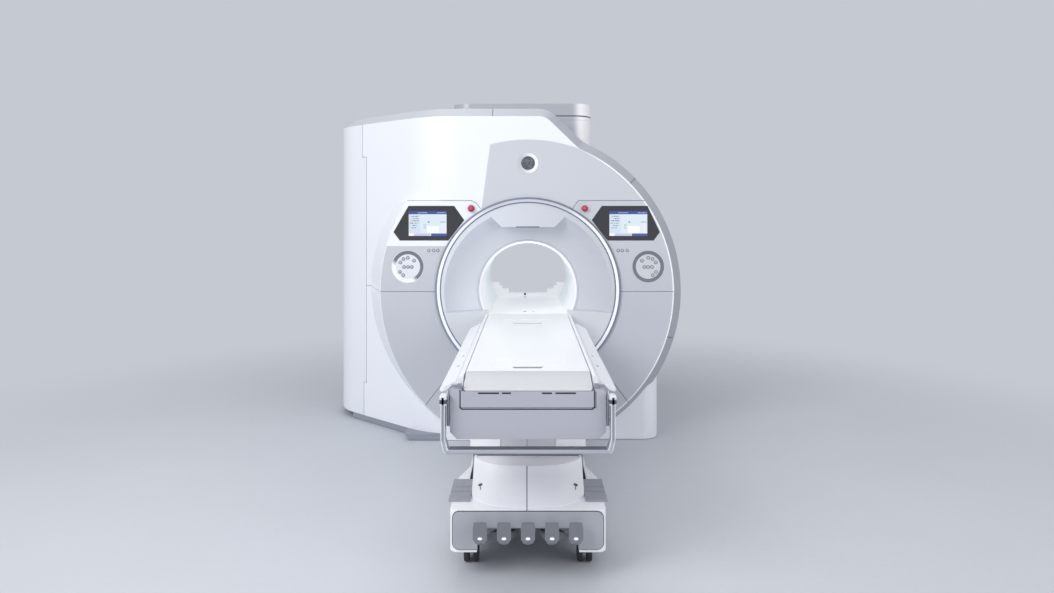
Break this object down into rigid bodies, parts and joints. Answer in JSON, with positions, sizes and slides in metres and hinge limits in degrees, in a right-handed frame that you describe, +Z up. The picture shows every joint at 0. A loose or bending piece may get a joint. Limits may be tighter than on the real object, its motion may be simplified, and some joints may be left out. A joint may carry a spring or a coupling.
{
  "type": "mri scanner",
  "caption": "Closed-bore magnetic resonance scanner with a lit ring round the bore and a wheeled, docking patient table.",
  "frame": {"origin": "on the floor under the centre of the magnet, in the middle of the four floor bolt holes", "axes": "+Y along the bore, away from the patient table; +Z up; +X to the right seen from the patient table"},
  "size_m": [2.664, 4.0245, 2.51],
  "materials": {
    "vessel": "satin",
    "coil": "matt",
    "white_plastic": "satin",
    "white_gloss": "gloss",
    "grey_plastic": "satin",
    "satin_metal": "satin",
    "light_ring": "frosted",
    "display_glass": "gloss",
    "control_grey": "satin",
    "red_plastic": "gloss",
    "painted_steel": "satin",
    "rubber_pad": "ribbed matt",
    "pedal_grey": "satin",
    "caster_plastic": "satin",
    "wheel_rubber": "matt"
  },
  "bodies": {
    "gantry": {"magnet_cryostat": "vessel", "gradient_coil": "coil", "bore_tube": "white_plastic", "patient_bridge": "white_plastic", "bridge_end": "white_plastic", "bridge_apron": "white_plastic", "bore_surround": "grey_plastic", "bore_shelf": "grey_plastic", "halo_bezel": "satin_metal", "halo_light": "light_ring", "front_cover_upper": "white_gloss", "front_cover_left": "white_gloss", "front_cover_right": "white_gloss", "front_cover_chin": "white_gloss", "side_cover_left": "white_gloss", "floor_skirt_left": "grey_plastic", "roof_cover_left": "grey_plastic", "roof_cover_right": "grey_plastic", "side_cover_right": "grey_plastic", "side_cover_lower": "grey_plastic", "plinth_right": "white_plastic", "turret_cover": "white_plastic", "turret_cap": "white_plastic", "rear_cover": "white_gloss", "display_left": "display_glass", "display_right": "display_glass", "dials": "control_grey", "keypads": "control_grey"},
    "table_base": {"base_frame": "painted_steel", "base_cover": "white_plastic", "pedal_panel": "grey_plastic", "step_pads": "rubber_pad", "lift_column": "painted_steel"},
    "table_top": {"lift_sleeve": "white_plastic", "table_frame": "white_plastic", "end_cap": "grey_plastic", "handle_brackets": "satin_metal"},
    "emergency_button_left": {"emergency_button_left": "red_plastic"},
    "emergency_button_right": {"emergency_button_right": "red_plastic"},
    "cradle": {"cradle": "white_gloss"},
    "push_handle": {"push_handle": "satin_metal"},
    "arm_board_left_foot": {"arm_board_left_foot": "grey_plastic"},
    "arm_board_right_foot": {"arm_board_right_foot": "grey_plastic"},
    "arm_board_left_head": {"arm_board_left_head": "grey_plastic"},
    "arm_board_right_head": {"arm_board_right_head": "grey_plastic"},
    "pedal_1": {"pedal_1": "pedal_grey"},
    "pedal_2": {"pedal_2": "pedal_grey"},
    "pedal_3": {"pedal_3": "pedal_grey"},
    "pedal_4": {"pedal_4": "pedal_grey"},
    "pedal_5": {"pedal_5": "pedal_grey"},
    "caster_fork_foot_left": {"caster_fork_foot_left": "caster_plastic"},
    "caster_wheel_foot_left": {"caster_wheel_foot_left": "wheel_rubber"},
    "caster_fork_foot_right": {"caster_fork_foot_right": "caster_plastic"},
    "caster_wheel_foot_right": {"caster_wheel_foot_right": "wheel_rubber"},
    "caster_fork_head_left": {"caster_fork_head_left": "caster_plastic"},
    "caster_wheel_head_left": {"caster_wheel_head_left": "wheel_rubber"},
    "caster_fork_head_right": {"caster_fork_head_right": "caster_plastic"},
    "caster_wheel_head_right": {"caster_wheel_head_right": "wheel_rubber"}
  },
  "joints": [
    {"name": "stop_button_left", "type": "slide", "parent": "gantry", "child": "emergency_button_left", "axis": [0, 1, 0], "range_m": [0, 0.008], "stiffness_N_per_m": 600},
    {"name": "stop_button_right", "type": "slide", "parent": "gantry", "child": "emergency_button_right", "axis": [0, 1, 0], "range_m": [0, 0.008], "stiffness_N_per_m": 600},
    {"name": "table_dock", "type": "slide", "parent": "gantry", "child": "table_base", "axis": [0, 1, 0], "range_m": [-0.6, 0]},
    {"name": "table_lift", "type": "slide", "parent": "table_base", "child": "table_top", "axis": [0, 0, 1], "range_m": [-0.3, 0]},
    {"name": "cradle_slide", "type": "slide", "parent": "table_top", "child": "cradle", "axis": [0, 1, 0], "range_m": [0, 1.5]},
    {"name": "handle_swing", "type": "hinge", "parent": "table_top", "child": "push_handle", "pos_m": [0, -3.0625, 0.852], "axis": [-1, 0, 0], "range_deg": [0, 95]},
    {"name": "arm_board_left_foot_fold", "type": "hinge", "parent": "table_top", "child": "arm_board_left_foot", "pos_m": [-0.3142, -2.5, 0.88], "axis": [0, 1, 0], "range_deg": [-60, 0]},
    {"name": "arm_board_left_head_fold", "type": "hinge", "parent": "table_top", "child": "arm_board_left_head", "pos_m": [-0.3142, -2.5, 0.88], "axis": [0, 1, 0], "range_deg": [-60, 0]},
    {"name": "arm_board_right_foot_fold", "type": "hinge", "parent": "table_top", "child": "arm_board_right_foot", "pos_m": [0.3142, -2.5, 0.88], "axis": [0, -1, 0], "range_deg": [-60, 0]},
    {"name": "arm_board_right_head_fold", "type": "hinge", "parent": "table_top", "child": "arm_board_right_head", "pos_m": [0.3142, -2.5, 0.88], "axis": [0, -1, 0], "range_deg": [-60, 0]},
    {"name": "pedal_1_press", "type": "hinge", "parent": "table_base", "child": "pedal_1", "pos_m": [0, -2.8, 0.235], "axis": [1, 0, 0], "range_deg": [0, 8], "stiffness_Nm_per_rad": 60, "springref_deg": -2.86},
    {"name": "pedal_2_press", "type": "hinge", "parent": "table_base", "child": "pedal_2", "pos_m": [0, -2.8, 0.235], "axis": [1, 0, 0], "range_deg": [0, 8], "stiffness_Nm_per_rad": 60, "springref_deg": -2.86},
    {"name": "pedal_3_press", "type": "hinge", "parent": "table_base", "child": "pedal_3", "pos_m": [0, -2.8, 0.235], "axis": [1, 0, 0], "range_deg": [0, 8], "stiffness_Nm_per_rad": 60, "springref_deg": -2.86},
    {"name": "pedal_4_press", "type": "hinge", "parent": "table_base", "child": "pedal_4", "pos_m": [0, -2.8, 0.235], "axis": [1, 0, 0], "range_deg": [0, 8], "stiffness_Nm_per_rad": 60, "springref_deg": -2.86},
    {"name": "pedal_5_press", "type": "hinge", "parent": "table_base", "child": "pedal_5", "pos_m": [0, -2.8, 0.235], "axis": [1, 0, 0], "range_deg": [0, 8], "stiffness_Nm_per_rad": 60, "springref_deg": -2.86},
    {"name": "caster_swivel_foot_left", "type": "hinge", "parent": "table_base", "child": "caster_fork_foot_left", "pos_m": [-0.265, -2.75, 0.1], "axis": [0, 0, 1], "continuous": true},
    {"name": "caster_roll_foot_left", "type": "hinge", "parent": "caster_fork_foot_left", "child": "caster_wheel_foot_left", "pos_m": [-0.265, -2.725, 0.05], "axis": [1, 0, 0], "continuous": true},
    {"name": "caster_swivel_foot_right", "type": "hinge", "parent": "table_base", "child": "caster_fork_foot_right", "pos_m": [0.265, -2.75, 0.1], "axis": [0, 0, 1], "continuous": true},
    {"name": "caster_roll_foot_right", "type": "hinge", "parent": "caster_fork_foot_right", "child": "caster_wheel_foot_right", "pos_m": [0.265, -2.725, 0.05], "axis": [1, 0, 0], "continuous": true},
    {"name": "caster_swivel_head_left", "type": "hinge", "parent": "table_base", "child": "caster_fork_head_left", "pos_m": [-0.265, -1.6, 0.1], "axis": [0, 0, 1], "continuous": true},
    {"name": "caster_roll_head_left", "type": "hinge", "parent": "caster_fork_head_left", "child": "caster_wheel_head_left", "pos_m": [-0.265, -1.575, 0.05], "axis": [1, 0, 0], "continuous": true},
    {"name": "caster_swivel_head_right", "type": "hinge", "parent": "table_base", "child": "caster_fork_head_right", "pos_m": [0.265, -1.6, 0.1], "axis": [0, 0, 1], "continuous": true},
    {"name": "caster_roll_head_right", "type": "hinge", "parent": "caster_fork_head_right", "child": "caster_wheel_head_right", "pos_m": [0.265, -1.575, 0.05], "axis": [1, 0, 0], "continuous": true}
  ]
}
